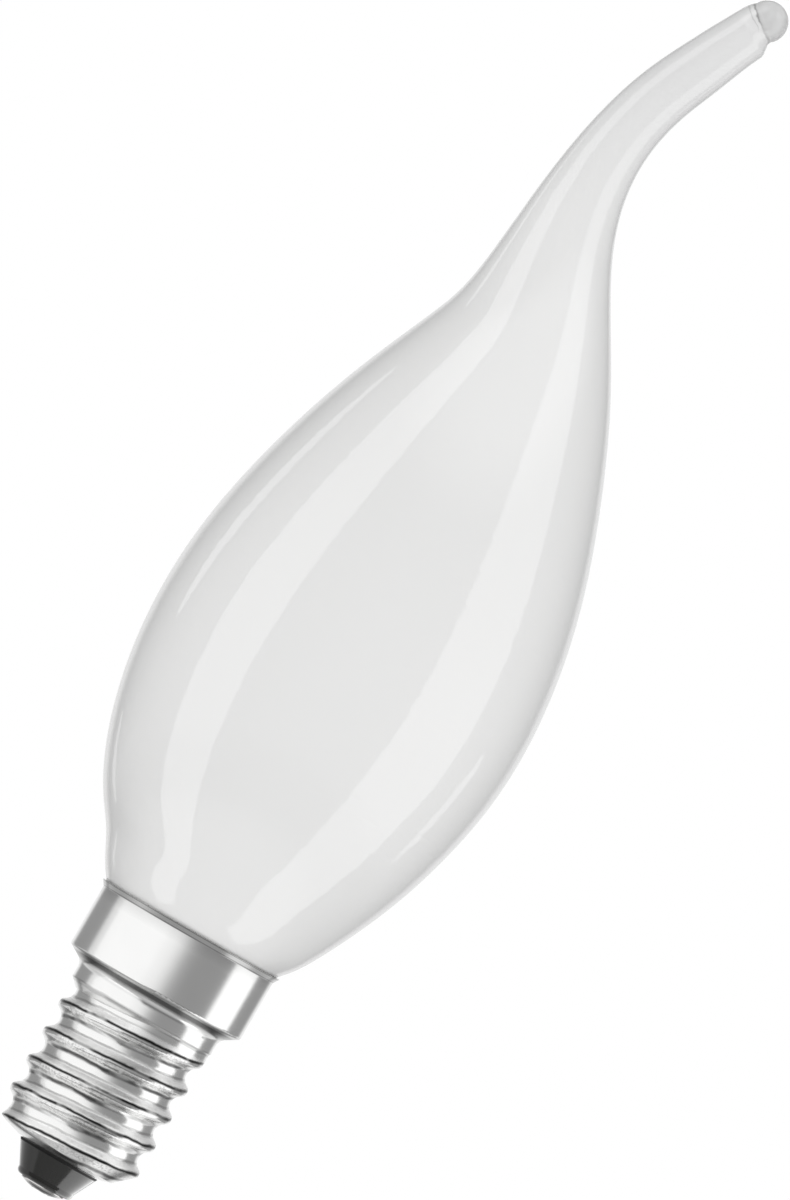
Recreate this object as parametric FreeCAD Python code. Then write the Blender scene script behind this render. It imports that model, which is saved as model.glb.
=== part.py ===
"""Frosted candle bulb with a bent flame tip and a small screw cap, in millimetres.

The origin is the centre of the flat face of the centre contact. +Z runs up the lamp's axis, through the
cap to the glass, and the drawn-out tip of the glass sways to -X and then curls over towards +X.
The glass is one blown and sealed piece. Its neck is bedded in a ring of cement in the collar of a thin
metal cap, whose round thread is rolled into the sheet. A moulded insulator closes the cap, and the centre
contact is pressed through it. One lead runs from the glass to the centre contact and one to the cap.
"""

import FreeCAD
import Part

import math
import os

# Rolled thread of the cap, round in form and right-handed
THREAD_MAJOR_RADIUS = 6.88
THREAD_DEPTH = 0.85
THREAD_PITCH = 2.822
THREAD_CREST_ROUND = 0.55
THREAD_CREST_HEIGHT = 8.27  # height of one crest where it crosses the +X side
THREAD_RUN_OUT = 1.0  # rise of the helix over which the groove fades into the neck
THREAD_RUN_IN = 3.0  # rise of the helix over which the lowest crest grows from the roots
THREAD_RUN_IN_START = -0.65  # where that begins, measured up from the floor

# Metal cap, from the hole in its floor up to its rim
SHEET = 0.25
FLOOR_HEIGHT = 3.5
FLOOR_HOLE_RADIUS = 3.6
FLOOR_LAND_WIDTH = 0.6
FLOOR_TILT_DEG = 16.0
CORNER_ROUND = 2.0
HEEL_RISE = 1.37  # from the floor to where the cone that trims the lowest turn crosses its major radius
HEEL_SLOPE_DEG = 39.6
HEEL_SLANT_DEG = 2.4  # slant of that cone, which takes off more on the +X side
THREADED_LENGTH = 14.35  # from the floor up to the neck
NECK_PROUD = 0.12
NECK_EDGE = 0.75
NECK_LENGTH = 1.5
SHOULDER_WIDTH = 1.58
SHOULDER_RISE = 0.95
SHOULDER_ROUND = 1.0
COLLAR_EDGE_ROUND = 0.3
COLLAR_LENGTH = 5.75
LIP_FLARE = 0.36
LIP_LENGTH = 0.55

# Insulator, a cone under the cap, a waist in the hole of the floor and a head inside
INSULATOR_LEDGE = 0.28
INSULATOR_GROOVE_HEIGHT = 0.15  # shallow groove right under the cap's floor
INSULATOR_GROOVE_DEPTH = 0.12
INSULATOR_FOOT_RADIUS = 2.73
INSULATOR_FOOT_LENGTH = 0.6
INSULATOR_FOOT_ROUND = 0.45
INSULATOR_HEAD_SETBACK = 0.1
INSULATOR_HEAD_LENGTH = 1.2

# Centre contact, a shallow dome with a flat face and a shank through the insulator
CONTACT_LAND_RADIUS = 0.8
CONTACT_RADIUS = 2.1
CONTACT_DOME_HEIGHT = 0.4
CONTACT_EDGE_LENGTH = 0.12
CONTACT_SHANK_RADIUS = 0.9
CONTACT_SHANK_STAND_OUT = 0.6

# Neck of the glass, hidden in the collar, and the cement around it
CEMENT_BED = 0.35
CEMENT_FILM = 0.3
CEMENT_LEDGE_WIDTH = 1.2
CEMENT_BELOW_LIP = 0.6
GLASS_LIP_CLEARANCE = 0.03
GLASS_BED_CLEARANCE = 0.03
NECK_STATIONS = 4  # equal lengths that hold the neck straight

# Glass above the cap, station by station up its centreline: rise above the station below, sway of the
# centreline off the axis towards +X, and radius. The first rise is taken from the rim of the cap.
FLARE_RISE, FLARE_SWAY, FLARE_RADIUS = 0.55, 0.0, 9.06
FUNNEL_RISE, FUNNEL_SWAY, FUNNEL_RADIUS = 2.85, 0.07, 10.83
BOWL_RISE, BOWL_SWAY, BOWL_RADIUS = 2.95, 0.07, 12.55
FLANK_RISE, FLANK_SWAY, FLANK_RADIUS = 9.0, -0.12, 16.08
BELLY_RISE, BELLY_SWAY, BELLY_RADIUS = 11.0, 0.17, 17.5
BREAST_RISE, BREAST_SWAY, BREAST_RADIUS = 12.0, 0.37, 16.03
UPPER_FLANK_RISE, UPPER_FLANK_SWAY, UPPER_FLANK_RADIUS = 12.0, 0.23, 12.18
TAIL_ROOT_RISE, TAIL_ROOT_SWAY, TAIL_ROOT_RADIUS = 8.0, -0.21, 8.63
TAIL_KINK_RISE, TAIL_KINK_SWAY, TAIL_KINK_RADIUS = 3.0, -0.62, 7.22
TAIL_LOW_RISE, TAIL_LOW_SWAY, TAIL_LOW_RADIUS = 5.0, -1.57, 5.36
TAIL_BEND_RISE, TAIL_BEND_SWAY, TAIL_BEND_RADIUS = 5.0, -2.28, 4.03
TAIL_BACK_RISE, TAIL_BACK_SWAY, TAIL_BACK_RADIUS = 6.0, -2.29, 3.07
TAIL_CURL_RISE, TAIL_CURL_SWAY, TAIL_CURL_RADIUS = 7.0, -0.66, 2.67
TAIL_LEAN_RISE, TAIL_LEAN_SWAY, TAIL_LEAN_RADIUS = 4.05, 1.13, 2.52
TIP_RISE, TIP_SWAY, TIP_RADIUS = 3.7, 2.89, 2.31
TIP_LEAN_DEG = 27.0

# Seal of the glass beyond the tip, along its lean: reach from the tip station, shift towards the outside
# of the bend, and radius. The tube is pinched in on one side, runs into the bead and ends inside it.
SEAL_SHOULDER_REACH, SEAL_SHOULDER_SHIFT, SEAL_SHOULDER_RADIUS = 0.6, 0.03, 2.25
SEAL_WAIST_REACH, SEAL_WAIST_SHIFT, SEAL_WAIST_RADIUS = 1.4, 0.28, 1.96
SEAL_ROOT_REACH, SEAL_ROOT_SHIFT, SEAL_ROOT_RADIUS = 2.1, 0.24, 1.9
SEAL_END_REACH, SEAL_END_SHIFT, SEAL_END_RADIUS = 3.0, 0.12, 1.6
BEAD_REACH, BEAD_SHIFT, BEAD_RADIUS = 2.5, 0.08, 1.88

# Leads inside the cap
LEAD_RADIUS = 0.25
SIDE_LEAD_OFFSET = 3.0
SIDE_LEAD_BEND_RADIUS = 1.0
SIDE_LEAD_SEAT_GAP = 0.05

# Points set out around a ring, and rows of them set out up one pitch of the thread
RING_POINTS = 32
ROWS_PER_PITCH = 14
THREAD_OVERRUN = 0.5  # how far the rolled blank is made past its ends, which are then trimmed off

# Heights and radii that follow
ROOT_RADIUS = THREAD_MAJOR_RADIUS - THREAD_DEPTH
NECK_RADIUS = THREAD_MAJOR_RADIUS + NECK_PROUD
COLLAR_RADIUS = NECK_RADIUS + SHOULDER_WIDTH
LIP_RADIUS = COLLAR_RADIUS + LIP_FLARE
LAND_RADIUS = FLOOR_HOLE_RADIUS + FLOOR_LAND_WIDTH
NECK_HEIGHT = FLOOR_HEIGHT + THREADED_LENGTH
SHOULDER_HEIGHT = NECK_HEIGHT + NECK_LENGTH
COLLAR_HEIGHT = SHOULDER_HEIGHT + SHOULDER_RISE
LIP_HEIGHT = COLLAR_HEIGHT + COLLAR_LENGTH
RIM_HEIGHT = LIP_HEIGHT + LIP_LENGTH
CONTACT_TOP_HEIGHT = CONTACT_DOME_HEIGHT + CONTACT_EDGE_LENGTH
INSULATOR_TOP_HEIGHT = FLOOR_HEIGHT + SHEET + INSULATOR_HEAD_LENGTH
SHANK_TOP_HEIGHT = INSULATOR_TOP_HEIGHT + CONTACT_SHANK_STAND_OUT
GLASS_NECK_RADIUS = COLLAR_RADIUS - SHEET - CEMENT_FILM
GLASS_FOOT_HEIGHT = COLLAR_HEIGHT + SHEET + CEMENT_BED
CEMENT_TOP_HEIGHT = LIP_HEIGHT - CEMENT_BELOW_LIP

UP = FreeCAD.Vector(0, 0, 1)
SIDEWAYS = FreeCAD.Vector(0, 1, 0)
ORIGIN = FreeCAD.Vector(0, 0, 0)


def rounded_edges(corners):
    """Edges in the XZ plane along (radius, height, rounding) corners, with an arc at each rounded one."""
    points = [FreeCAD.Vector(radius, 0, height) for radius, height, _ in corners]
    edges = []
    start = points[0]
    for i in range(1, len(corners) - 1):
        back = (points[i - 1] - points[i]).normalize()
        ahead = (points[i + 1] - points[i]).normalize()
        half_angle = back.getAngle(ahead) / 2
        rounding = corners[i][2]
        end = points[i] + back * (rounding / math.tan(half_angle))
        edges.append(Part.LineSegment(start, end).toShape())
        start = end
        if rounding > 0:
            start = points[i] + ahead * (rounding / math.tan(half_angle))
            middle = points[i] + (back + ahead).normalize() * (rounding / math.sin(half_angle) - rounding)
            edges.append(Part.Arc(end, middle, start).toShape())
    edges.append(Part.LineSegment(start, points[-1]).toShape())
    return edges


def turned(corners):
    """Solid turned about the Z axis from a chain of corners, closed to the axis at both ends."""
    first = FreeCAD.Vector(0, 0, corners[0][1])
    last = FreeCAD.Vector(0, 0, corners[-1][1])
    edges = rounded_edges(corners)
    edges.append(Part.LineSegment(edges[-1].Vertexes[-1].Point, last).toShape())
    edges.append(Part.LineSegment(last, first).toShape())
    if corners[0][0] > 0:
        edges.append(Part.LineSegment(first, edges[0].Vertexes[0].Point).toShape())
    return Part.Face(Part.Wire(edges)).revolve(ORIGIN, UP, 360)


def inset(corners, sheet):
    """The inner side of a sheet whose outer side runs up the given corners, with roundings to match."""
    points = [FreeCAD.Vector(radius, 0, height) for radius, height, _ in corners]
    runs = [(after - before).normalize() for before, after in zip(points, points[1:])]
    inward = [FreeCAD.Vector(-run.z, 0, run.x) for run in runs]
    inner = [points[0] + inward[0] * sheet]
    roundings = [0.0]
    for i in range(1, len(corners) - 1):
        bisector = (inward[i - 1] + inward[i]).normalize()
        inner.append(points[i] + bisector * (sheet / bisector.dot(inward[i])))
        turn = runs[i - 1].cross(runs[i]).y
        tighter = -sheet if turn < 0 else sheet
        roundings.append(max(corners[i][2] + tighter, 0.0) if corners[i][2] > 0 else 0.0)
    top = points[-1] + inward[-1] * sheet
    inner.append(top + runs[-1] * ((points[-1].z - top.z) / runs[-1].z))
    roundings.append(0.0)
    return [(point.x, point.z, rounding) for point, rounding in zip(inner, roundings)]


def skinned(rings, stations):
    """Solid under a smooth skin through closed rings of points, one ring at each station along its length.

    Each ring is a periodic curve, and the poles of the rings are joined lengthwise by smooth curves, so the
    skin has no seam. Both ends are flat.
    """
    around = [float(i) for i in range(len(rings[0]) + 1)]
    hoops = []
    for ring in rings:
        hoop = Part.BSplineCurve()
        hoop.interpolate(Points=ring, PeriodicFlag=True, Parameters=around)
        hoops.append(hoop)
    strakes = []
    for poles in zip(*[hoop.getPoles() for hoop in hoops]):
        strake = Part.BSplineCurve()
        strake.interpolate(Points=list(poles), Parameters=stations)
        strakes.append(strake)
    surface = Part.BSplineSurface()
    surface.buildFromPolesMultsKnots(
        [strake.getPoles() for strake in strakes],
        hoops[0].getMultiplicities(),
        strakes[0].getMultiplicities(),
        hoops[0].getKnots(),
        strakes[0].getKnots(),
        True,
        False,
        hoops[0].Degree,
        strakes[0].Degree,
    )
    side = surface.toShape()
    ends = [edge for edge in side.Edges if not edge.isSeam(side)]
    faces = [side] + [Part.Face(Part.Wire([edge])) for edge in ends]
    shell = Part.Shell(faces)
    shell.sewShape()
    return Part.Solid(shell)


def eased(share):
    """Smooth step from 0 to 1."""
    share = min(max(share, 0.0), 1.0)
    return share**2 * (3 - 2 * share)


def groove_depth(angle, height):
    """Depth of the thread under its crests, at an angle about the axis and a height.

    Crest and root are arcs that touch. The groove fades out along its helix where that reaches the neck,
    and the lowest crest grows out of the roots along its own.
    """
    half_pitch = THREAD_PITCH / 2
    both_rounds = (half_pitch**2 + THREAD_DEPTH**2) / (2 * THREAD_DEPTH)
    root_round = both_rounds - THREAD_CREST_ROUND
    turns = (height - THREAD_CREST_HEIGHT) / THREAD_PITCH - angle / (2 * math.pi)
    from_root = (turns - math.floor(turns) - 0.5) * THREAD_PITCH
    from_crest = half_pitch - abs(from_root)
    if from_crest < half_pitch * THREAD_CREST_ROUND / both_rounds:
        depth = THREAD_CREST_ROUND - math.sqrt(THREAD_CREST_ROUND**2 - from_crest**2)
    else:
        depth = THREAD_DEPTH - root_round + math.sqrt(root_round**2 - from_root**2)
    left = (NECK_HEIGHT - (height - from_root)) / THREAD_RUN_OUT
    crest_height = height + math.copysign(from_crest, from_root)
    grown = (crest_height - FLOOR_HEIGHT - THREAD_RUN_IN_START) / THREAD_RUN_IN
    return (THREAD_DEPTH - (THREAD_DEPTH - depth) * eased(grown)) * eased(left)


def rolled_blank():
    """The threaded length of the cap as a solid, a little longer than it ends up at both ends."""
    bottom = FLOOR_HEIGHT - THREAD_OVERRUN
    top = NECK_HEIGHT + THREAD_OVERRUN
    rows = math.ceil((top - bottom) / THREAD_PITCH * ROWS_PER_PITCH)
    heights = [bottom + (top - bottom) * row / rows for row in range(rows + 1)]
    angles = [2 * math.pi * i / RING_POINTS for i in range(RING_POINTS)]
    rings = []
    for height in heights:
        radii = [THREAD_MAJOR_RADIUS - groove_depth(angle, height) for angle in angles]
        ring = [
            FreeCAD.Vector(radius * math.cos(angle), radius * math.sin(angle), height)
            for radius, angle in zip(radii, angles)
        ]
        rings.append(ring)
    return skinned(rings, heights)


def floor_height_at(radius):
    """Height of the tilted underside of the cap's floor, out beyond its flat land."""
    return FLOOR_HEIGHT + (radius - LAND_RADIUS) * math.tan(math.radians(FLOOR_TILT_DEG))


def upper_cap_corners():
    """Outer side of the cap from the top of the thread to the rim."""
    return [
        (NECK_RADIUS - NECK_EDGE, NECK_HEIGHT - NECK_EDGE, 0),
        (NECK_RADIUS, NECK_HEIGHT, 0),
        (NECK_RADIUS, SHOULDER_HEIGHT, SHOULDER_ROUND),
        (COLLAR_RADIUS, COLLAR_HEIGHT, COLLAR_EDGE_ROUND),
        (COLLAR_RADIUS, LIP_HEIGHT, 0),
        (LIP_RADIUS, RIM_HEIGHT, 0),
    ]


def cap_cavity():
    """The room inside the cap, open at the rim."""
    below = [
        (FLOOR_HOLE_RADIUS, FLOOR_HEIGHT, 0),
        (LAND_RADIUS, FLOOR_HEIGHT, 0),
        (ROOT_RADIUS, floor_height_at(ROOT_RADIUS), CORNER_ROUND),
        (ROOT_RADIUS, NECK_HEIGHT - NECK_PROUD - THREAD_DEPTH, 0),
    ]
    return turned(inset(below + upper_cap_corners()[1:], SHEET))


def heel_cone():
    """Slanted cone, wider upwards, that trims the lowest turn of the thread."""
    slope = math.tan(math.radians(HEEL_SLOPE_DEG))
    point = UP * (FLOOR_HEIGHT + HEEL_RISE - THREAD_MAJOR_RADIUS * slope)
    cone = Part.makeCone(0, RIM_HEIGHT / slope, RIM_HEIGHT)
    cone.translate(point)
    return cone.rotate(point, SIDEWAYS, -HEEL_SLANT_DEG)


def make_screw_cap():
    outside = THREAD_MAJOR_RADIUS + SHEET
    envelope = turned([
        (LAND_RADIUS, FLOOR_HEIGHT, 0),
        (outside, floor_height_at(outside), CORNER_ROUND),
        (outside, NECK_HEIGHT + THREAD_OVERRUN, 0),
    ])
    body = rolled_blank().common(envelope).common(heel_cone()).fuse(turned(upper_cap_corners()))
    hole = Part.makeCylinder(FLOOR_HOLE_RADIUS, 2 * FLOOR_HEIGHT)
    return body.cut([cap_cavity(), hole])


def make_insulator():
    brow_radius = FLOOR_HOLE_RADIUS + INSULATOR_LEDGE
    brow_height = FLOOR_HEIGHT - INSULATOR_GROOVE_HEIGHT
    head_radius = LAND_RADIUS - INSULATOR_HEAD_SETBACK
    body = turned([
        (0, CONTACT_TOP_HEIGHT, 0),
        (INSULATOR_FOOT_RADIUS, CONTACT_TOP_HEIGHT, INSULATOR_FOOT_ROUND),
        (INSULATOR_FOOT_RADIUS, CONTACT_TOP_HEIGHT + INSULATOR_FOOT_LENGTH, 0),
        (brow_radius, brow_height, 0),
        (brow_radius - INSULATOR_GROOVE_DEPTH, brow_height, 0),
        (brow_radius - INSULATOR_GROOVE_DEPTH, FLOOR_HEIGHT, 0),
        (FLOOR_HOLE_RADIUS, FLOOR_HEIGHT, 0),
        (FLOOR_HOLE_RADIUS, FLOOR_HEIGHT + SHEET, 0),
        (head_radius, FLOOR_HEIGHT + SHEET, 0),
        (head_radius, INSULATOR_TOP_HEIGHT, 0),
    ])
    return body.cut(Part.makeCylinder(CONTACT_SHANK_RADIUS, SHANK_TOP_HEIGHT))


def make_centre_contact():
    """Head cut from a sphere that meets the flat face and the edge, with the shank on it."""
    rims = CONTACT_RADIUS**2 - CONTACT_LAND_RADIUS**2
    sphere_height = (rims + CONTACT_DOME_HEIGHT**2) / (2 * CONTACT_DOME_HEIGHT)
    sphere = Part.makeSphere(math.hypot(sphere_height, CONTACT_LAND_RADIUS), UP * sphere_height)
    head = Part.makeCylinder(CONTACT_RADIUS, CONTACT_TOP_HEIGHT).common(sphere)
    return head.fuse(Part.makeCylinder(CONTACT_SHANK_RADIUS, SHANK_TOP_HEIGHT))


def glass_stations():
    """Height, sway and radius of the glass at each station, from its foot in the cap up to the tip."""
    lip_lean = math.atan(LIP_FLARE / LIP_LENGTH)
    mouth_radius = LIP_RADIUS - SHEET / math.cos(lip_lean) - GLASS_LIP_CLEARANCE
    neck_length = CEMENT_TOP_HEIGHT - GLASS_FOOT_HEIGHT
    stations = []
    for i in range(NECK_STATIONS + 1):
        stations.append((GLASS_FOOT_HEIGHT + neck_length * i / NECK_STATIONS, 0, GLASS_NECK_RADIUS))
    stations.append((RIM_HEIGHT, 0, mouth_radius))
    height = RIM_HEIGHT
    for rise, sway, radius in [
        (FLARE_RISE, FLARE_SWAY, FLARE_RADIUS),
        (FUNNEL_RISE, FUNNEL_SWAY, FUNNEL_RADIUS),
        (BOWL_RISE, BOWL_SWAY, BOWL_RADIUS),
        (FLANK_RISE, FLANK_SWAY, FLANK_RADIUS),
        (BELLY_RISE, BELLY_SWAY, BELLY_RADIUS),
        (BREAST_RISE, BREAST_SWAY, BREAST_RADIUS),
        (UPPER_FLANK_RISE, UPPER_FLANK_SWAY, UPPER_FLANK_RADIUS),
        (TAIL_ROOT_RISE, TAIL_ROOT_SWAY, TAIL_ROOT_RADIUS),
        (TAIL_KINK_RISE, TAIL_KINK_SWAY, TAIL_KINK_RADIUS),
        (TAIL_LOW_RISE, TAIL_LOW_SWAY, TAIL_LOW_RADIUS),
        (TAIL_BEND_RISE, TAIL_BEND_SWAY, TAIL_BEND_RADIUS),
        (TAIL_BACK_RISE, TAIL_BACK_SWAY, TAIL_BACK_RADIUS),
        (TAIL_CURL_RISE, TAIL_CURL_SWAY, TAIL_CURL_RADIUS),
        (TAIL_LEAN_RISE, TAIL_LEAN_SWAY, TAIL_LEAN_RADIUS),
        (TIP_RISE, TIP_SWAY, TIP_RADIUS),
    ]:
        height += rise
        stations.append((height, sway, radius))
    return stations


def ring_about(centre, along, radius):
    """Points of a circle square to the direction along, which lies in the XZ plane."""
    across = FreeCAD.Vector(along.z, 0, -along.x)
    points = []
    for i in range(RING_POINTS):
        angle = 2 * math.pi * i / RING_POINTS
        points.append(centre + across * (radius * math.cos(angle)) + SIDEWAYS * (radius * math.sin(angle)))
    return points


def make_glass_bulb():
    stations = glass_stations()
    centres = [FreeCAD.Vector(sway, 0, height) for height, sway, _ in stations]
    radii = [radius for _, _, radius in stations]
    lean_angle = math.radians(TIP_LEAN_DEG)
    lean = FreeCAD.Vector(math.sin(lean_angle), 0, math.cos(lean_angle))
    outward = FreeCAD.Vector(-lean.z, 0, lean.x)
    tip = centres[-1]
    centreline = Part.BSplineCurve()
    centreline.interpolate(Points=centres, InitialTangent=UP, FinalTangent=lean)
    along = [centreline.tangent(centreline.parameter(centre))[0] for centre in centres]
    for reach, shift, radius in [
        (SEAL_SHOULDER_REACH, SEAL_SHOULDER_SHIFT, SEAL_SHOULDER_RADIUS),
        (SEAL_WAIST_REACH, SEAL_WAIST_SHIFT, SEAL_WAIST_RADIUS),
        (SEAL_ROOT_REACH, SEAL_ROOT_SHIFT, SEAL_ROOT_RADIUS),
        (SEAL_END_REACH, SEAL_END_SHIFT, SEAL_END_RADIUS),
    ]:
        centres.append(tip + lean * reach + outward * shift)
        along.append(lean)
        radii.append(radius)
    rings = [ring_about(*ring) for ring in zip(centres, along, radii)]
    lengths = [0.0]
    for before, after in zip(centres, centres[1:]):
        lengths.append(lengths[-1] + before.distanceToPoint(after))
    bead = Part.makeSphere(BEAD_RADIUS, tip + lean * BEAD_REACH + outward * BEAD_SHIFT)
    return skinned(rings, lengths).fuse(bead)


def make_basing_cement():
    """Ring under and around the neck of the glass. It fills the collar up to a little below the lip."""
    length = CEMENT_TOP_HEIGHT - SHOULDER_HEIGHT
    ring = Part.makeCylinder(LIP_RADIUS, length).cut(
        Part.makeCylinder(GLASS_NECK_RADIUS - CEMENT_LEDGE_WIDTH, length)
    )
    ring.translate(UP * SHOULDER_HEIGHT)
    bed = Part.makeCylinder(GLASS_NECK_RADIUS + GLASS_BED_CLEARANCE, length)
    bed.translate(UP * GLASS_FOOT_HEIGHT)
    return ring.common(cap_cavity()).cut(bed)


def make_centre_lead():
    lead = Part.makeCylinder(LEAD_RADIUS, GLASS_FOOT_HEIGHT - SHANK_TOP_HEIGHT)
    lead.translate(UP * SHANK_TOP_HEIGHT)
    return lead


def make_side_lead():
    """Wire down from the glass and out to the neck of the cap, with one bend."""
    level = NECK_HEIGHT + NECK_LENGTH / 2
    end = NECK_RADIUS - SHEET - SIDE_LEAD_SEAT_GAP
    bend = SIDE_LEAD_BEND_RADIUS
    top = FreeCAD.Vector(SIDE_LEAD_OFFSET, 0, GLASS_FOOT_HEIGHT)
    bend_top = FreeCAD.Vector(SIDE_LEAD_OFFSET, 0, level + bend)
    bend_middle = FreeCAD.Vector(
        SIDE_LEAD_OFFSET + bend * (1 - math.cos(math.pi / 4)),
        0,
        level + bend * (1 - math.sin(math.pi / 4)),
    )
    bend_end = FreeCAD.Vector(SIDE_LEAD_OFFSET + bend, 0, level)
    path = Part.Wire([
        Part.LineSegment(top, bend_top).toShape(),
        Part.Arc(bend_top, bend_middle, bend_end).toShape(),
        Part.LineSegment(bend_end, FreeCAD.Vector(end, 0, level)).toShape(),
    ])
    section = Part.Face(Part.Wire([Part.makeCircle(LEAD_RADIUS, top, UP)]))
    return path.makePipe(section)


def write_part(name, shape):
    if len(shape.Solids) != 1:
        raise ValueError(f"{name} has {len(shape.Solids)} solids")
    solid = shape.Solids[0]
    if not solid.isValid():
        raise ValueError(f"{name} is not valid")
    solid.exportStep(os.path.join("parts", name + ".step"))
    box = solid.BoundBox
    print(f"{name}: {solid.Volume:.2f} mm3, {box.XLength:.2f} x {box.YLength:.2f} x {box.ZLength:.2f} mm")


os.makedirs("parts", exist_ok=True)
write_part("glass_bulb", make_glass_bulb())
write_part("screw_cap", make_screw_cap())
write_part("insulator", make_insulator())
write_part("centre_contact", make_centre_contact())
write_part("basing_cement", make_basing_cement())
write_part("centre_lead", make_centre_lead())
write_part("side_lead", make_side_lead())
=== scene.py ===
"""Studio scene of a frosted candle bulb with a bent flame tip.

Lengths are in metres unless a name says mm, and heights are above the face of the centre contact.
Azimuths are in degrees from the camera's side, towards the right of the picture.
"""

import math

import bpy
from mathutils import Matrix, Vector

MM = 0.001
UP = Vector((0.0, 0.0, 1.0))
WHITE = (1.0, 1.0, 1.0, 1.0)

# Camera: level, far off, and rolled so that the lamp leans to the right as in the photograph
CAMERA_DISTANCE = 2.5
CAMERA_CLIP = 100.0
CAMERA_ROLL_DEG = 30.0
AIM = Vector((1.046 * MM, 0.0, 60.59 * MM))
FRAME_HEIGHT = 105.45 * MM
SENSOR_MM = 36.0

# Floor, well below the lamp
FLOOR_LEVEL = -0.45
FLOOR_SIZE = 30.0
FLOOR_GREY = 0.9
FLOOR_GLOW = 0.65  # added where the camera sees the floor, so that it is as white as the backdrop

# World: white behind the object, softer for the light on it
WORLD_LIGHT = 0.535

# The room as shiny surfaces mirror it: (slope of the ray from -1 straight down to 1 straight up, brightness)
ROOM = (
    (-1.0, 0.7),
    (-0.9, 0.6),
    (-0.72, 0.45),
    (-0.6, 0.18),
    (-0.46, 0.18),
    (-0.36, 0.34),
    (0.55, 0.34),
    (0.7, 0.9),
    (1.0, 0.95),
)

# A mirrored ray that goes on along +Y by these shares of its length comes to the white backdrop
BACKDROP = (0.85, 0.93)

# Large soft lights that shade matt surfaces and aren't mirrored in shiny ones
KEY_AZIMUTHS = {"key_front": 0.0, "key_back": 180.0}
KEY_SIZE = (0.6, 1.0)
KEY_RADIANCE = 1.02
KEY_DISTANCE = 0.8
KEY_HEIGHT = 0.1

# Softboxes stand around the lamp, each over a span of heights
BOX_DISTANCE = 0.24
TALL_BOX = (-0.43, 0.8)
LOW_BOX = (-0.33, 0.21)
FLOOR_BOX = (-0.4, -0.06)
LINE_BOX = (0.036, 0.187)
RIGHT_CRESCENT_BOX = (-0.045, 0.045)
LEFT_CRESCENT_BOX = (-0.075, -0.005)

# Fade of the left softbox towards the middle in the metal, in strips that reach less and less far down
FADE_START_DEG = -21.0
FADE_END_DEG = 24.0
FADE_STRIP_DEG = 3.0
FADE_MIDDLE_DEG = 4.5
FADE_SOFTNESS_DEG = 5.2
FADE_RADIANCE = 0.78
FADE_BOX_BOTTOM = -0.05
FADE_BOX_STEP = 0.06

# Softboxes of each material: name, first azimuth, last azimuth, span of heights, radiance
GLASS_BOXES = (
    ("glass_left", -80.0, -47.0, TALL_BOX, 0.85),
    ("glass_right", 45.0, 88.0, TALL_BOX, 0.8),
)
OVAL_GLASS_BOXES = (
    ("glass_line", -119.0, -111.0, LINE_BOX, 0.72),
    ("glass_right_crescent", 104.5, 110.5, RIGHT_CRESCENT_BOX, 0.72),
    ("glass_left_crescent", -141.5, -136.5, LEFT_CRESCENT_BOX, 0.5),
)
LEFT_METAL_BOXES = (
    ("metal_edge", -105.0, -94.0, LOW_BOX, 0.55),
    ("metal_left", -94.0, FADE_START_DEG, LOW_BOX, 0.84),
)
OTHER_METAL_BOXES = (
    ("metal_right", 70.0, 112.0, LOW_BOX, 1.05),
    ("metal_low_left", -150.0, -105.0, FLOOR_BOX, 0.5),
    ("metal_low_right", 112.0, 150.0, FLOOR_BOX, 0.6),
)
PLASTIC_BOXES = (
    ("plastic_left", -160.0, -75.0, TALL_BOX, 0.5),
    ("plastic_right", 61.0, 160.0, TALL_BOX, 2.6),
)

# Detail of the noise, unless a material has its own. The scales of noise below are in repeats per metre
NOISE_DETAIL = 3.0

# Share of a line's half width over which it has its full strength
LEVEL_LINE_CORE = 0.5
THREAD_LINE_CORE = 0.3
NO_CORE = 0.0

# Frosted glass: cloudy white, with painted shade that makes it darker towards the tip and towards the
# outline
FROST_COLOURS = ((0.845, 0.845, 0.84), (0.865, 0.865, 0.86))
FROST_SCALE = 60.0
TAIL = (96.0 * MM, 112.0 * MM)
# Painted shade: the grey that the glass is darkened to towards the tip
TAIL_SHADE_GREY = 0.8
# Painted shade: the grey that the glass is darkened to towards its outline, more where the surface faces
# away from the view
OUTLINE_SHADE_GREY = 0.47
OUTLINE_POWER = 4.0
GLASS_ROUGHNESS = (0.03, 0.07)
GLASS_ROUGHNESS_SCALE = 900.0
GLASS_IOR = 1.5
GLASS_SPECULAR = 1.0

# Clear bead at the end of the glass: everything past a slanting plane, with a wavy edge
BEAD_SIDE = (0.65, 0.0, 0.791)
BEAD_START = (97.55 * MM, 97.7 * MM)
BEAD_WAVE = 0.4 * MM
BEAD_WAVE_SCALE = 700.0
BEAD_GREY = 0.8
BEAD_TRANSMISSION = 0.4

# Painted shade in the creases between glass and bead: (distance along BEAD_SIDE, half width, strength). They
# end in X
BEAD_CREASES = ((97.65 * MM, 0.14 * MM, 0.6), (97.2 * MM, 0.1 * MM, 0.3))
CREASED = (3.9 * MM, 3.4 * MM)
CREASE_SHADE_GREY = 0.2

# Nickel plate, faintly brushed round the cap
NICKEL_COLOURS = ((0.78, 0.78, 0.775), (0.82, 0.82, 0.815))
NICKEL_SCALE = 500.0
NICKEL_ROUGHNESS = (0.17, 0.22)
BRUSHING = (300.0, 300.0, 20000.0)
# Painted reflection and shade: the dark colour that the lines and marks of the cap are painted in
PAINTED_REFLECTION_GREY = 0.03

# Thread of the cap: pitch, height of a crest on the +X side, and the heights between which lines show
THREAD_PITCH = 2.822 * MM
THREAD_CREST = 8.27 * MM
THREAD_FOOT = (3.6 * MM, 3.75 * MM)
THREAD_TOP = (17.2 * MM, 16.9 * MM)
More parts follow.
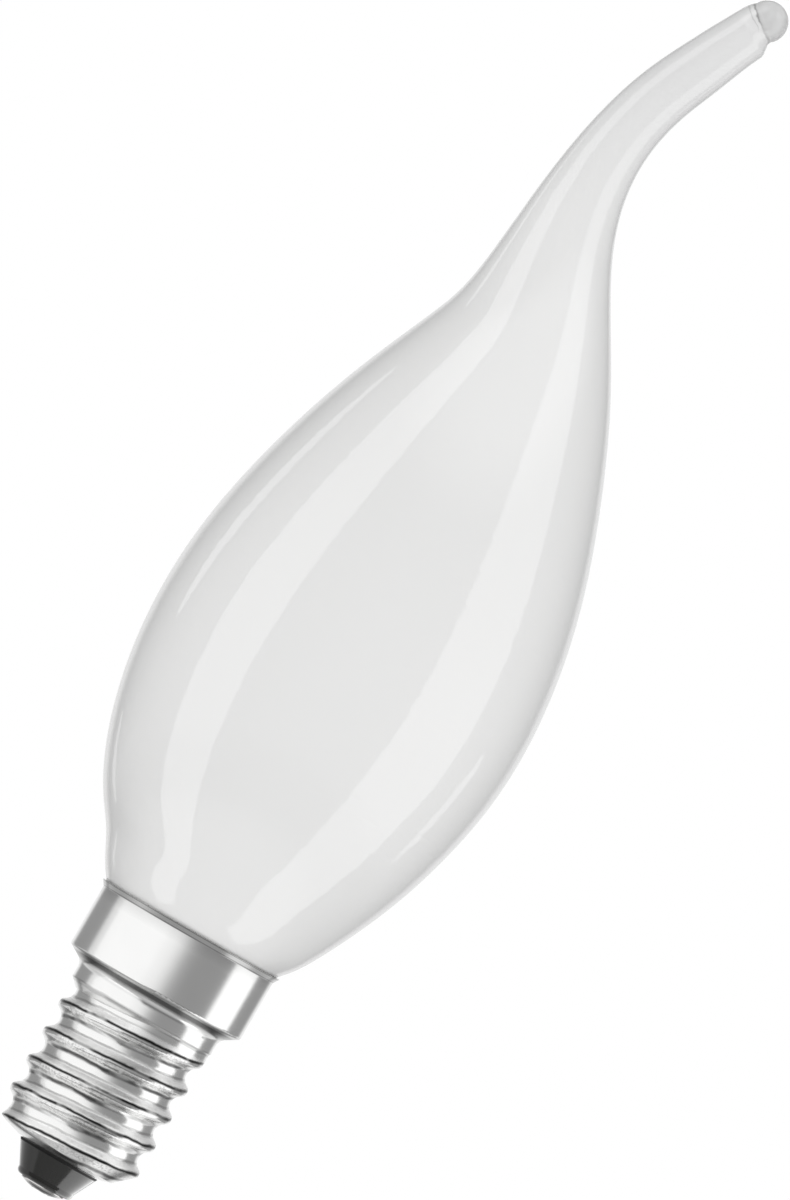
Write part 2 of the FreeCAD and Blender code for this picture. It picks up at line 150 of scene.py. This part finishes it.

# Painted dark reflections along the thread: (height above the crest, half width, strength)
CREST_LINE = (0.14 * MM, 0.2 * MM, 1.0)
FLANK_LINE = (-0.93 * MM, 0.24 * MM, 0.9)
UPPER_LINE = (0.95 * MM, 0.14 * MM, 0.35)
SPECKLED_LINE = (-0.3 * MM, 0.55 * MM, 0.36)
LINE_WAVE = 0.2 * MM
LINE_WAVE_SCALE = 350.0

# From the first to the second level of noise the crest line grows whole, and patches and speckles appear
CREST_WHOLE = (0.36, 0.44)
CREST_WHOLE_SCALE = 260.0
CREST_STRENGTH = (0.6, 1.0)
PATCHES = (0.38, 0.55)
PATCH_SCALE = 180.0
SPECKLES = (0.45, 0.65)
SPECKLE_SCALE = 4000.0

# Upper flank of the thread: rougher, and painted brighter as a painted highlight
DULL_HIGHLIT_FLANK = (0.5 * MM, 0.42 * MM, 1.0)
FLANK_HIGHLIGHT_COLOUR = (0.96, 0.96, 0.955, 1.0)
DULL_FLANK_ROUGHNESS = 0.2

# Painted dark reflections in level lines round the neck and the lip: (height, half width, strength)
NECK_LINE = (17.75 * MM, 0.25 * MM, 0.3)
LIP_LINES = ((26.13 * MM, 0.12 * MM, 0.85), (26.53 * MM, 0.12 * MM, 0.85))

# Painted shade and dark reflections round the collar: (height where it starts, height of its full strength,
# strength)
SHOULDER_MARK = (19.35 * MM, 19.7 * MM, 0.88)
COLLAR_FOOT_MARK = (19.7 * MM, 19.95 * MM, 0.4)
COLLAR_TOP_MARK = (25.0 * MM, 26.0 * MM, 0.17)
LIP_MARK = (25.98 * MM, 26.08 * MM, 0.45)

# Upper ends of the two lowest of them: gone from the first height up, whole below the second
SHOULDER_MARK_END = (20.14 * MM, 19.98 * MM)
COLLAR_FOOT_MARK_END = (20.35 * MM, 20.27 * MM)

# Glossy black insulator with a line round its top that is rougher, and painted darker as painted shade at
# its joint with the cap
INSULATOR_COLOURS = ((0.013, 0.013, 0.012), (0.016, 0.016, 0.015))
INSULATOR_SCALE = 800.0
INSULATOR_ROUGHNESS = (0.1, 0.2)
INSULATOR_ROUGHNESS_SCALE = 3000.0
INSULATOR_LINE = (3.27 * MM, 0.14 * MM, 1.0)
INSULATOR_SHADE_GREY = 0.004
INSULATOR_LINE_ROUGHNESS = 0.7

# Centre contact, painted dark as a painted reflection, but for its rim and its flat face
CONTACT_COLOURS = ((0.74, 0.73, 0.72), (0.84, 0.83, 0.82))
CONTACT_SCALE = 900.0
CONTACT_ROUGHNESS = (0.16, 0.3)
CONTACT_ROUGHNESS_SCALE = 2500.0
CONTACT_DARK_REFLECTION_GREY = 0.12
CONTACT_RIM = (0.36 * MM, 0.14 * MM, 1.0)
CONTACT_FACE = (0.05 * MM, 0.02 * MM)

# Basing cement
CEMENT_COLOURS = ((0.5, 0.46, 0.38), (0.7, 0.66, 0.57))
CEMENT_SCALE = 2500.0
CEMENT_DETAIL = 6.0
CEMENT_ROUGHNESS = 0.9
CEMENT_BUMP_HEIGHT = 0.1 * MM
CEMENT_BUMP_STRENGTH = 0.6

# Leads
WIRE_COLOURS = ((0.58, 0.57, 0.55), (0.68, 0.67, 0.65))
WIRE_SCALE = 1500.0
WIRE_ROUGHNESS = 0.3

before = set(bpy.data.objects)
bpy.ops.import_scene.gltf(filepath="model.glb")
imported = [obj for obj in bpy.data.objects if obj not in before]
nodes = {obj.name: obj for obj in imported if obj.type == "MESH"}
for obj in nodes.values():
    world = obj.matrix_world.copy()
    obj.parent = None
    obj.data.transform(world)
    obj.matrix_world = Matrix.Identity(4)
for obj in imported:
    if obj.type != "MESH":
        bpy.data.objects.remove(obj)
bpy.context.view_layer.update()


def azimuth_vector(azimuth_deg):
    """Level unit vector at an azimuth."""
    angle = math.radians(azimuth_deg)
    return Vector((math.sin(angle), -math.cos(angle), 0.0))


def add_camera():
    data = bpy.data.cameras.new("camera")
    data.sensor_fit = "VERTICAL"
    data.sensor_height = SENSOR_MM
    data.lens = SENSOR_MM * CAMERA_DISTANCE / FRAME_HEIGHT
    data.clip_end = CAMERA_CLIP
    camera = bpy.data.objects.new("camera", data)
    bpy.context.scene.collection.objects.link(camera)
    roll = math.radians(CAMERA_ROLL_DEG)
    right = Vector((math.cos(roll), 0.0, math.sin(roll)))
    up = Vector((-math.sin(roll), 0.0, math.cos(roll)))
    back = azimuth_vector(0.0)
    turn = Matrix((right, up, back)).transposed()
    camera.matrix_world = Matrix.Translation(AIM + back * CAMERA_DISTANCE) @ turn.to_4x4()
    bpy.context.scene.camera = camera


def collection_of(name, *members):
    group = bpy.data.collections.new(name)
    for member in members:
        group.objects.link(member)
    return group


def add_area_lamp(name, shape, size, radiance, azimuth_deg, distance, height):
    """Upright area lamp that faces the lamp's axis."""
    data = bpy.data.lights.new(name, "AREA")
    data.shape = shape
    data.size, data.size_y = size
    filled = math.pi / 4 if shape == "ELLIPSE" else 1.0
    data.energy = radiance * math.pi * filled * data.size * data.size_y
    lamp = bpy.data.objects.new(name, data)
    bpy.context.scene.collection.objects.link(lamp)
    outward = azimuth_vector(azimuth_deg)
    turn = Matrix((UP.cross(outward), UP, outward)).transposed()
    lamp.matrix_world = Matrix.Translation(outward * distance + UP * height) @ turn.to_4x4()
    return lamp


def add_softboxes(boxes, receivers, shape="RECTANGLE"):
    """Softboxes that light only the nodes in the collection of receivers."""
    for name, start_deg, end_deg, (bottom, top), radiance in boxes:
        half_angle = math.radians((end_deg - start_deg) / 2)
        size = (2 * BOX_DISTANCE * math.tan(half_angle), top - bottom)
        middle_deg = (start_deg + end_deg) / 2
        lamp = add_area_lamp(name, shape, size, radiance, middle_deg, BOX_DISTANCE, (top + bottom) / 2)
        lamp.light_linking.receiver_collection = receivers


def fading_boxes():
    """Strips of softbox whose radiance falls smoothly from the left to the right."""
    boxes = []
    for strip in range(round((FADE_END_DEG - FADE_START_DEG) / FADE_STRIP_DEG)):
        start_deg = FADE_START_DEG + strip * FADE_STRIP_DEG
        end_deg = start_deg + FADE_STRIP_DEG
        past = ((start_deg + end_deg) / 2 - FADE_MIDDLE_DEG) / FADE_SOFTNESS_DEG
        bottom = min(FADE_BOX_BOTTOM, LOW_BOX[0] + (strip + 1) * FADE_BOX_STEP)
        radiance = FADE_RADIANCE / (1 + math.exp(past))
        boxes.append((f"metal_fade_{strip}", start_deg, end_deg, (bottom, LOW_BOX[1]), radiance))
    return boxes


def add_keys():
    for name, azimuth in KEY_AZIMUTHS.items():
        lamp = add_area_lamp(name, "RECTANGLE", KEY_SIZE, KEY_RADIANCE, azimuth, KEY_DISTANCE, KEY_HEIGHT)
        lamp.visible_glossy = False
        lamp.visible_camera = False
        lamp.visible_transmission = False


def grey(brightness):
    return (brightness, brightness, brightness, 1.0)


def feed(tree, value, socket):
    """Link the output of a node to a socket, or set the socket to a number or colour."""
    if isinstance(value, bpy.types.NodeSocket):
        tree.links.new(value, socket)
    else:
        socket.default_value = value


def calculated(tree, operation, *values):
    """Result of an operation on numbers or outputs of nodes."""
    node = tree.nodes.new("ShaderNodeMath")
    node.operation = operation
    for value, socket in zip(values, node.inputs):
        feed(tree, value, socket)
    return node.outputs[0]


def chained(tree, operation, first, *others):
    """Result of an operation on the first value and each other one in turn."""
    for other in others:
        first = calculated(tree, operation, first, other)
    return first


def between(tree, value, start, end):
    """Where a value stands from start (0) to end (1)."""
    share = tree.nodes.new("ShaderNodeMapRange")
    share.inputs["From Min"].default_value = start
    share.inputs["From Max"].default_value = end
    tree.links.new(value, share.inputs["Value"])
    return share.outputs["Result"]


def ranged(tree, value, low, high):
    """Map a 0 to 1 value to the range from low to high."""
    mapping = tree.nodes.new("ShaderNodeMapRange")
    mapping.inputs["To Min"].default_value = low
    mapping.inputs["To Max"].default_value = high
    tree.links.new(value, mapping.inputs["Value"])
    return mapping.outputs["Result"]


def mixed(tree, share, low, high):
    """Colour from low to high, each a colour or the output of a node."""
    mix = tree.nodes.new("ShaderNodeMix")
    mix.data_type = "RGBA"
    tree.links.new(share, mix.inputs["Factor"])
    feed(tree, low, mix.inputs["A"])
    feed(tree, high, mix.inputs["B"])
    return mix.outputs["Result"]


def tinted(tree, value, low, high):
    """Colour between two written without alpha."""
    return mixed(tree, value, (*low, 1.0), (*high, 1.0))


def mixed_shaders(tree, share, low, high):
    mix = tree.nodes.new("ShaderNodeMixShader")
    tree.links.new(share, mix.inputs["Fac"])
    tree.links.new(low, mix.inputs[1])
    tree.links.new(high, mix.inputs[2])
    return mix.outputs[0]


def coordinates(tree, place):
    """The X, Y and Z of a place."""
    axes = tree.nodes.new("ShaderNodeSeparateXYZ")
    tree.links.new(place, axes.inputs[0])
    return tuple(axes.outputs)


def noise(tree, place, scale, detail=NOISE_DETAIL):
    texture = tree.nodes.new("ShaderNodeTexNoise")
    texture.inputs["Scale"].default_value = scale
    texture.inputs["Detail"].default_value = detail
    tree.links.new(place, texture.inputs["Vector"])
    return texture.outputs["Fac"]


def stretched(tree, place, scale):
    mapping = tree.nodes.new("ShaderNodeMapping")
    mapping.inputs["Scale"].default_value = scale
    tree.links.new(place, mapping.inputs["Vector"])
    return mapping.outputs["Vector"]


def bumped(tree, value, distance, strength):
    bump = tree.nodes.new("ShaderNodeBump")
    bump.inputs["Distance"].default_value = distance
    bump.inputs["Strength"].default_value = strength
    tree.links.new(value, bump.inputs["Height"])
    return bump.outputs["Normal"]


def mark(tree, height, start, full, strength):
    """Strength of a mark that grows from one height to another."""
    return calculated(tree, "MULTIPLY", between(tree, height, start, full), strength)


def stripe(tree, height, middle, half_width, strength, core=LEVEL_LINE_CORE):
    """Strength of a line round a height, whole in its core and nothing beyond its half width."""
    off = calculated(tree, "ABSOLUTE", calculated(tree, "SUBTRACT", height, middle))
    return mark(tree, off, half_width, core * half_width, strength)


def thread_line(tree, turns_up, height, half_width, strength):
    """Strength of a line along the thread, at a height above its crest."""
    turn = calculated(tree, "FRACT", calculated(tree, "SUBTRACT", turns_up, height / THREAD_PITCH - 0.5))
    return stripe(tree, turn, 0.5, half_width / THREAD_PITCH, strength, THREAD_LINE_CORE)


def collar_marks(tree, height):
    """Strength of the painted shade and dark reflections under the collar, at its top and along its lip."""
    marks = [mark(tree, height, *COLLAR_TOP_MARK), mark(tree, height, *LIP_MARK)]
    for band, end in ((SHOULDER_MARK, SHOULDER_MARK_END), (COLLAR_FOOT_MARK, COLLAR_FOOT_MARK_END)):
        marks.append(calculated(tree, "MINIMUM", mark(tree, height, *band), between(tree, height, *end)))
    for line in LIP_LINES:
        marks.append(stripe(tree, height, *line, NO_CORE))
    return chained(tree, "MAXIMUM", *marks)


def seen_plainly(tree):
    """1 for rays from the camera and through clear glass, 0 for all others."""
    paths = tree.nodes.new("ShaderNodeLightPath")
    return calculated(tree, "MAXIMUM", paths.outputs["Is Camera Ray"], paths.outputs["Is Transmission Ray"])


def background(tree, colour, strength=1.0):
    node = tree.nodes.new("ShaderNodeBackground")
    feed(tree, colour, node.inputs["Color"])
    node.inputs["Strength"].default_value = strength
    return node.outputs[0]


def mirrored_room(tree):
    """Colour of the room in the direction of a ray."""
    _, away, slope = coordinates(tree, tree.nodes.new("ShaderNodeTexCoord").outputs["Generated"])
    ramp = tree.nodes.new("ShaderNodeValToRGB")
    tree.links.new(between(tree, slope, -1.0, 1.0), ramp.inputs["Fac"])
    points = ramp.color_ramp.elements
    while len(points) < len(ROOM):
        points.new(1.0)
    for point, (stop_slope, brightness) in zip(points, ROOM):
        point.position = (stop_slope + 1) / 2
        point.color = grey(brightness)
    return mixed(tree, between(tree, away, *BACKDROP), ramp.outputs["Color"], WHITE)


def add_world():
    world = bpy.data.worlds.new("studio")
    bpy.context.scene.world = world
    world.use_nodes = True
    tree = world.node_tree
    tree.nodes.clear()
    glossy = tree.nodes.new("ShaderNodeLightPath").outputs["Is Glossy Ray"]
    light = background(tree, WHITE, WORLD_LIGHT)
    lit = mixed_shaders(tree, glossy, light, background(tree, mirrored_room(tree)))
    output = tree.nodes.new("ShaderNodeOutputWorld")
    surface = mixed_shaders(tree, seen_plainly(tree), lit, background(tree, WHITE))
    tree.links.new(surface, output.inputs["Surface"])


def add_floor():
    mesh = bpy.data.meshes.new("floor")
    half = FLOOR_SIZE / 2
    corners = [(x, y, FLOOR_LEVEL) for x, y in ((-half, -half), (half, -half), (half, half), (-half, half))]
    mesh.from_pydata(corners, [], [(0, 1, 2, 3)])
    floor = bpy.data.objects.new("floor", mesh)
    bpy.context.scene.collection.objects.link(floor)
    material = bpy.data.materials.new("floor")
    material.use_nodes = True
    tree = material.node_tree
    tree.nodes.clear()
    diffuse = tree.nodes.new("ShaderNodeBsdfDiffuse")
    diffuse.inputs["Color"].default_value = grey(FLOOR_GREY)
    glow = tree.nodes.new("ShaderNodeEmission")
    glow.inputs["Strength"].default_value = FLOOR_GLOW
    glowing = tree.nodes.new("ShaderNodeAddShader")
    tree.links.new(diffuse.outputs[0], glowing.inputs[0])
    tree.links.new(glow.outputs[0], glowing.inputs[1])
    output = tree.nodes.new("ShaderNodeOutputMaterial")
    surface = mixed_shaders(tree, seen_plainly(tree), diffuse.outputs[0], glowing.outputs[0])
    tree.links.new(surface, output.inputs["Surface"])
    mesh.materials.append(material)
    floor.visible_glossy = False


def principled(name):
    """A new material and its node tree, shader and object coordinates."""
    material = bpy.data.materials.new(name)
    material.use_nodes = True
    tree = material.node_tree
    shader = tree.nodes["Principled BSDF"]
    place = tree.nodes.new("ShaderNodeTexCoord").outputs["Object"]
    return material, tree, shader, place


def frosted_glass():
    material, tree, shader, place = principled("frosted_glass")
    x, _, z = coordinates(tree, place)
    frost = tinted(tree, noise(tree, place, FROST_SCALE), *FROST_COLOURS)
    # Painted shade: the glass grows darker towards the tip
    frost = mixed(tree, between(tree, z, *TAIL), frost, grey(TAIL_SHADE_GREY))
    # Painted shade: darker towards the outline, by how far the surface faces away from the view
    facing = tree.nodes.new("ShaderNodeLayerWeight").outputs["Facing"]
    frost = mixed(tree, calculated(tree, "POWER", facing, OUTLINE_POWER), frost, grey(OUTLINE_SHADE_GREY))
    beyond = tree.nodes.new("ShaderNodeVectorMath")
    beyond.operation = "DOT_PRODUCT"
    tree.links.new(place, beyond.inputs[0])
    beyond.inputs[1].default_value = BEAD_SIDE
    wave = ranged(tree, noise(tree, place, BEAD_WAVE_SCALE), -BEAD_WAVE, BEAD_WAVE)
    along = calculated(tree, "ADD", beyond.outputs["Value"], wave)
    bead = between(tree, along, *BEAD_START)
    # Painted shade: dark lines in the creases between glass and bead
    creases = [stripe(tree, along, *crease, NO_CORE) for crease in BEAD_CREASES]
    crease = calculated(tree, "MULTIPLY", chained(tree, "MAXIMUM", *creases), between(tree, x, *CREASED))
    colour = mixed(tree, bead, frost, grey(BEAD_GREY))
    colour = mixed(tree, crease, colour, grey(CREASE_SHADE_GREY))
    tree.links.new(colour, shader.inputs["Base Color"])
    tree.links.new(ranged(tree, bead, 0.0, BEAD_TRANSMISSION), shader.inputs["Transmission Weight"])
    roughness = ranged(tree, noise(tree, place, GLASS_ROUGHNESS_SCALE), *GLASS_ROUGHNESS)
    tree.links.new(roughness, shader.inputs["Roughness"])
    shader.inputs["IOR"].default_value = GLASS_IOR
    shader.inputs["Specular IOR Level"].default_value = GLASS_SPECULAR
    return material


def nickel():
    material, tree, shader, place = principled("nickel_plate")
    shader.inputs["Metallic"].default_value = 1.0
    x, y, z = coordinates(tree, place)
    wave = ranged(tree, noise(tree, place, LINE_WAVE_SCALE), -LINE_WAVE, LINE_WAVE)
    wavy_height = calculated(tree, "ADD", z, wave)
    turns_up = calculated(tree, "SUBTRACT", wavy_height, THREAD_CREST)
    turns_up = calculated(tree, "DIVIDE", turns_up, THREAD_PITCH)
    turned = calculated(tree, "DIVIDE", calculated(tree, "ARCTAN2", y, x), 2 * math.pi)
    turns_up = calculated(tree, "SUBTRACT", turns_up, turned)
    threaded = calculated(tree, "MULTIPLY", between(tree, z, *THREAD_FOOT), between(tree, z, *THREAD_TOP))
    patchy = between(tree, noise(tree, place, PATCH_SCALE), *PATCHES)
    whole = between(tree, noise(tree, place, CREST_WHOLE_SCALE), *CREST_WHOLE)
    # Painted dark reflections: lines along the crests and flanks of the thread
    crest_line = thread_line(tree, turns_up, *CREST_LINE)
    crest_line = calculated(tree, "MULTIPLY", crest_line, ranged(tree, whole, *CREST_STRENGTH))
    flank_line = calculated(tree, "MULTIPLY", thread_line(tree, turns_up, *FLANK_LINE), patchy)
    upper_line = thread_line(tree, turns_up, *UPPER_LINE)
    speckles = between(tree, noise(tree, place, SPECKLE_SCALE), *SPECKLES)
    speckles = chained(tree, "MULTIPLY", thread_line(tree, turns_up, *SPECKLED_LINE), speckles, patchy)
    painted_thread_reflections = chained(tree, "MAXIMUM", crest_line, flank_line, upper_line, speckles)
    painted_thread_reflections = calculated(tree, "MULTIPLY", painted_thread_reflections, threaded)
    # Painted dark reflection: a line round the neck
    neck_line = stripe(tree, wavy_height, *NECK_LINE)
    marks = chained(tree, "MAXIMUM", painted_thread_reflections, neck_line, collar_marks(tree, z))
    dull_highlit_flank = calculated(tree, "MULTIPLY", thread_line(tree, turns_up, *DULL_HIGHLIT_FLANK), threaded)
    plain = tinted(tree, noise(tree, place, NICKEL_SCALE), *NICKEL_COLOURS)
    # Painted highlight: the upper flank is painted brighter
    plain = mixed(tree, dull_highlit_flank, plain, FLANK_HIGHLIGHT_COLOUR)
    # Painted reflection and shade: the lines and marks darken the nickel
    colour = mixed(tree, marks, plain, grey(PAINTED_REFLECTION_GREY))
    tree.links.new(colour, shader.inputs["Base Color"])
    brushing = noise(tree, stretched(tree, place, BRUSHING), 1.0)
    dullness = calculated(tree, "MULTIPLY", dull_highlit_flank, DULL_FLANK_ROUGHNESS)
    roughness = calculated(tree, "ADD", ranged(tree, brushing, *NICKEL_ROUGHNESS), dullness)
    tree.links.new(roughness, shader.inputs["Roughness"])
    return material


def black_insulator():
    material, tree, shader, place = principled("black_insulator")
    _, _, z = coordinates(tree, place)
    line = stripe(tree, z, *INSULATOR_LINE)
    plain = tinted(tree, noise(tree, place, INSULATOR_SCALE), *INSULATOR_COLOURS)
    # Painted shade: the line round the top of the insulator is darker
    colour = mixed(tree, line, plain, grey(INSULATOR_SHADE_GREY))
    tree.links.new(colour, shader.inputs["Base Color"])
    gloss = ranged(tree, noise(tree, place, INSULATOR_ROUGHNESS_SCALE), *INSULATOR_ROUGHNESS)
    dullness = calculated(tree, "MULTIPLY", line, INSULATOR_LINE_ROUGHNESS)
    tree.links.new(calculated(tree, "ADD", gloss, dullness), shader.inputs["Roughness"])
    return material


def contact_metal():
    material, tree, shader, place = principled("contact_metal")
    shader.inputs["Metallic"].default_value = 1.0
    _, _, z = coordinates(tree, place)
    bright = calculated(tree, "MAXIMUM", stripe(tree, z, *CONTACT_RIM), between(tree, z, *CONTACT_FACE))
    plain = tinted(tree, noise(tree, place, CONTACT_SCALE), *CONTACT_COLOURS)
    # Painted reflection: the contact is dark but for its rim and flat face
    tree.links.new(mixed(tree, bright, grey(CONTACT_DARK_REFLECTION_GREY), plain), shader.inputs["Base Color"])
    roughness = ranged(tree, noise(tree, place, CONTACT_ROUGHNESS_SCALE), *CONTACT_ROUGHNESS)
    tree.links.new(roughness, shader.inputs["Roughness"])
    return material


def cement():
    material, tree, shader, place = principled("cement")
    grain = noise(tree, place, CEMENT_SCALE, CEMENT_DETAIL)
    tree.links.new(tinted(tree, grain, *CEMENT_COLOURS), shader.inputs["Base Color"])
    shader.inputs["Roughness"].default_value = CEMENT_ROUGHNESS
    normal = bumped(tree, grain, CEMENT_BUMP_HEIGHT, CEMENT_BUMP_STRENGTH)
    tree.links.new(normal, shader.inputs["Normal"])
    return material


def lead_wire():
    material, tree, shader, place = principled("lead_wire")
    shader.inputs["Metallic"].default_value = 1.0
    colour = tinted(tree, noise(tree, place, WIRE_SCALE), *WIRE_COLOURS)
    tree.links.new(colour, shader.inputs["Base Color"])
    shader.inputs["Roughness"].default_value = WIRE_ROUGHNESS
    return material


wire = lead_wire()
materials = {
    "glass_bulb": frosted_glass(),
    "screw_cap": nickel(),
    "insulator": black_insulator(),
    "centre_contact": contact_metal(),
    "basing_cement": cement(),
    "centre_lead": wire,
    "side_lead": wire,
}
for node, material in materials.items():
    for slot in nodes[node].material_slots:
        slot.material = material

add_camera()
add_world()
add_floor()

glass_group = collection_of("lit_as_glass", nodes["glass_bulb"])
metal_group = collection_of("lit_as_metal", nodes["screw_cap"], nodes["centre_contact"])
plastic_group = collection_of("lit_as_plastic", nodes["insulator"])
add_softboxes(GLASS_BOXES, glass_group)
add_softboxes(OVAL_GLASS_BOXES, glass_group, "ELLIPSE")
add_softboxes(LEFT_METAL_BOXES, metal_group)
add_softboxes(fading_boxes(), metal_group)
add_softboxes(OTHER_METAL_BOXES, metal_group)
add_softboxes(PLASTIC_BOXES, plastic_group)
add_keys()

bpy.context.scene.view_settings.view_transform = "Standard"
